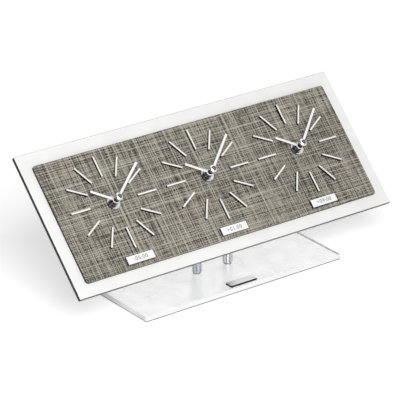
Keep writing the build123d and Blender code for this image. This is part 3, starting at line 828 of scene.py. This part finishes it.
# Printed hour offsets on the zone plates
OFFSETS = {"left": "-05:00", "middle": "+01:00", "right": "+09:00"}
NUMBER_SIZE = 6.0
NUMBER_SPACING = 1.15
INK_THICKNESS = 0.03
INK_LIFT = 0.02
PLATE_THICKNESS = 3.0
plate_row = middle_of("zone_plates")
for side in SIDES:
    bpy.ops.object.select_all(action="DESELECT")
    bpy.ops.object.text_add()
    number = bpy.context.object
    number.data.body = OFFSETS[side]
    number.data.size = NUMBER_SIZE * MM
    number.data.align_x = "CENTER"
    number.data.align_y = "CENTER"
    number.data.space_character = NUMBER_SPACING
    number.data.extrude = INK_THICKNESS * MM
    bpy.ops.object.convert(target="MESH")
    number = bpy.context.object
    number.name = f"zone_number_{side}"
    number.data.materials.append(ink)
    plate = Vector((axis_points[f"minute_turn_{side}"].x, plate_row.y, plate_row.z))
    settle(number, plate + OUTWARD * (PLATE_THICKNESS / 2 + INK_LIFT) * MM, ACROSS, UPWARD)
    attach(number, "stand")


# White sweep: the floor is white to the camera, a little less so through the acrylic, and keeps the
# shadow, which painted light makes fainter through the acrylic
FLOOR_SIZE = 14.0
FLOOR_DROP = 0.0002


def white_floor():
    near = 0.2
    far = 0.6
    through_acrylic = 0.88
    paper_tone = 0.94
    shadow_loss = 0.56
    material, tree = new_finish("white_floor")
    place = add(tree, "ShaderNodeTexCoord")
    distance = add(tree, "ShaderNodeVectorMath", {0: place.outputs["Object"]}, operation="LENGTH")
    # The paper brightens away from the clock
    lift = add(tree, "ShaderNodeMapRange", {
        "Value": distance.outputs["Value"], "From Min": near, "From Max": far,
        "To Min": 0.43, "To Max": 0.65,
    })
    path = add(tree, "ShaderNodeLightPath")
    seen = add(tree, "ShaderNodeMath", {
        0: path.outputs["Is Camera Ray"], 1: lift.outputs["Result"],
    }, operation="MULTIPLY")
    strength = add(tree, "ShaderNodeMath", {
        0: path.outputs["Is Transmission Ray"], 1: through_acrylic, 2: seen.outputs["Value"],
    }, operation="MULTIPLY_ADD")
    # Painted light: seen through the acrylic, the floor glows more and takes less lamp light, so the
    # shadow under the clock shows fainter there
    tone = add(tree, "ShaderNodeMath", {
        0: path.outputs["Is Transmission Ray"], 1: -shadow_loss, 2: paper_tone,
    }, operation="MULTIPLY_ADD")
    paper = add(tree, "ShaderNodeBsdfDiffuse", {"Color": tone.outputs["Value"]})
    glow = add(tree, "ShaderNodeEmission", {"Color": WHITE, "Strength": strength.outputs["Value"]})
    lit = add(tree, "ShaderNodeAddShader", {0: paper.outputs["BSDF"], 1: glow.outputs["Emission"]})
    add(tree, "ShaderNodeOutputMaterial", {"Surface": lit.outputs["Shader"]})
    return material


bpy.ops.object.select_all(action="DESELECT")
bpy.ops.mesh.primitive_plane_add(size=FLOOR_SIZE, location=(0.0, 0.0, -FLOOR_DROP))
floor = bpy.context.object
floor.name = "floor"
floor.data.materials.append(white_floor())


# Studio: white all round to the camera; the metal mirrors a room that is bright on the right and
# dark on the left
def white_studio():
    bright_end = (0.75, -0.5, 0.4)
    world = bpy.data.worlds.new("white_studio")
    world.use_nodes = True
    tree = world.node_tree
    tree.nodes.clear()
    path = add(tree, "ShaderNodeLightPath")
    direction = add(tree, "ShaderNodeTexCoord")
    rightness = add(tree, "ShaderNodeVectorMath", {
        0: direction.outputs["Generated"], 1: bright_end,
    }, operation="DOT_PRODUCT")
    room = add(tree, "ShaderNodeMapRange", {
        "Value": rightness.outputs["Value"], "From Min": -0.15, "From Max": 0.2,
        "To Min": 0.04, "To Max": 1.1,
    })
    soft = add(tree, "ShaderNodeBackground", {"Color": WHITE, "Strength": 0.3})
    bright = add(tree, "ShaderNodeBackground", {"Color": WHITE, "Strength": 1.0})
    mirrored = add(tree, "ShaderNodeBackground", {"Color": WHITE, "Strength": room.outputs["Result"]})
    lighting = add(tree, "ShaderNodeMixShader", {
        0: path.outputs["Is Glossy Ray"], 1: soft.outputs["Background"],
        2: mirrored.outputs["Background"],
    })
    both = add(tree, "ShaderNodeMixShader", {
        0: path.outputs["Is Camera Ray"], 1: lighting.outputs["Shader"], 2: bright.outputs["Background"],
    })
    add(tree, "ShaderNodeOutputWorld", {"Surface": both.outputs["Shader"]})
    return world


bpy.context.scene.world = white_studio()

# One square softbox, in front and to the left, that faces the clock
LAMP_PLACE = Vector((-0.81, -1.68, 1.43))
LAMP_TARGET = Vector((0.0, 0.0, 0.08))
LAMP_SIZE = 1.2
LAMP_WATTS = 38.0
bpy.ops.object.light_add(type="AREA", location=LAMP_PLACE)
lamp = bpy.context.object
lamp.name = "key_light"
lamp.data.size = LAMP_SIZE
lamp.data.energy = LAMP_WATTS
lamp.rotation_mode = "QUATERNION"
lamp.rotation_quaternion = (LAMP_TARGET - LAMP_PLACE).to_track_quat("-Z", "Y")

# Camera where the photograph was taken, aimed beside the panel's middle as the photograph is framed
AZIMUTH = math.radians(-36.92)
ELEVATION = math.radians(23.62)
DISTANCE = 2.82544
AIM_LEFT = 0.0081
AIM_DOWN = 0.02003
SENSOR_WIDTH = 36.0
FOCAL_LENGTH = 247.33
back = Vector((
    math.sin(AZIMUTH) * math.cos(ELEVATION),
    -math.cos(AZIMUTH) * math.cos(ELEVATION),
    math.sin(ELEVATION),
))
right = Vector((math.cos(AZIMUTH), math.sin(AZIMUTH), 0.0))
up = back.cross(right)
bpy.ops.object.camera_add()
camera = bpy.context.object
camera.name = "camera"
camera.location = PANEL_FRONT + back * DISTANCE - right * AIM_LEFT - up * AIM_DOWN
camera.rotation_mode = "QUATERNION"
camera.rotation_quaternion = (-back).to_track_quat("-Z", "Y")
camera.data.sensor_width = SENSOR_WIDTH
camera.data.lens = FOCAL_LENGTH
bpy.context.scene.camera = camera
bpy.context.scene.view_settings.view_transform = "Standard"
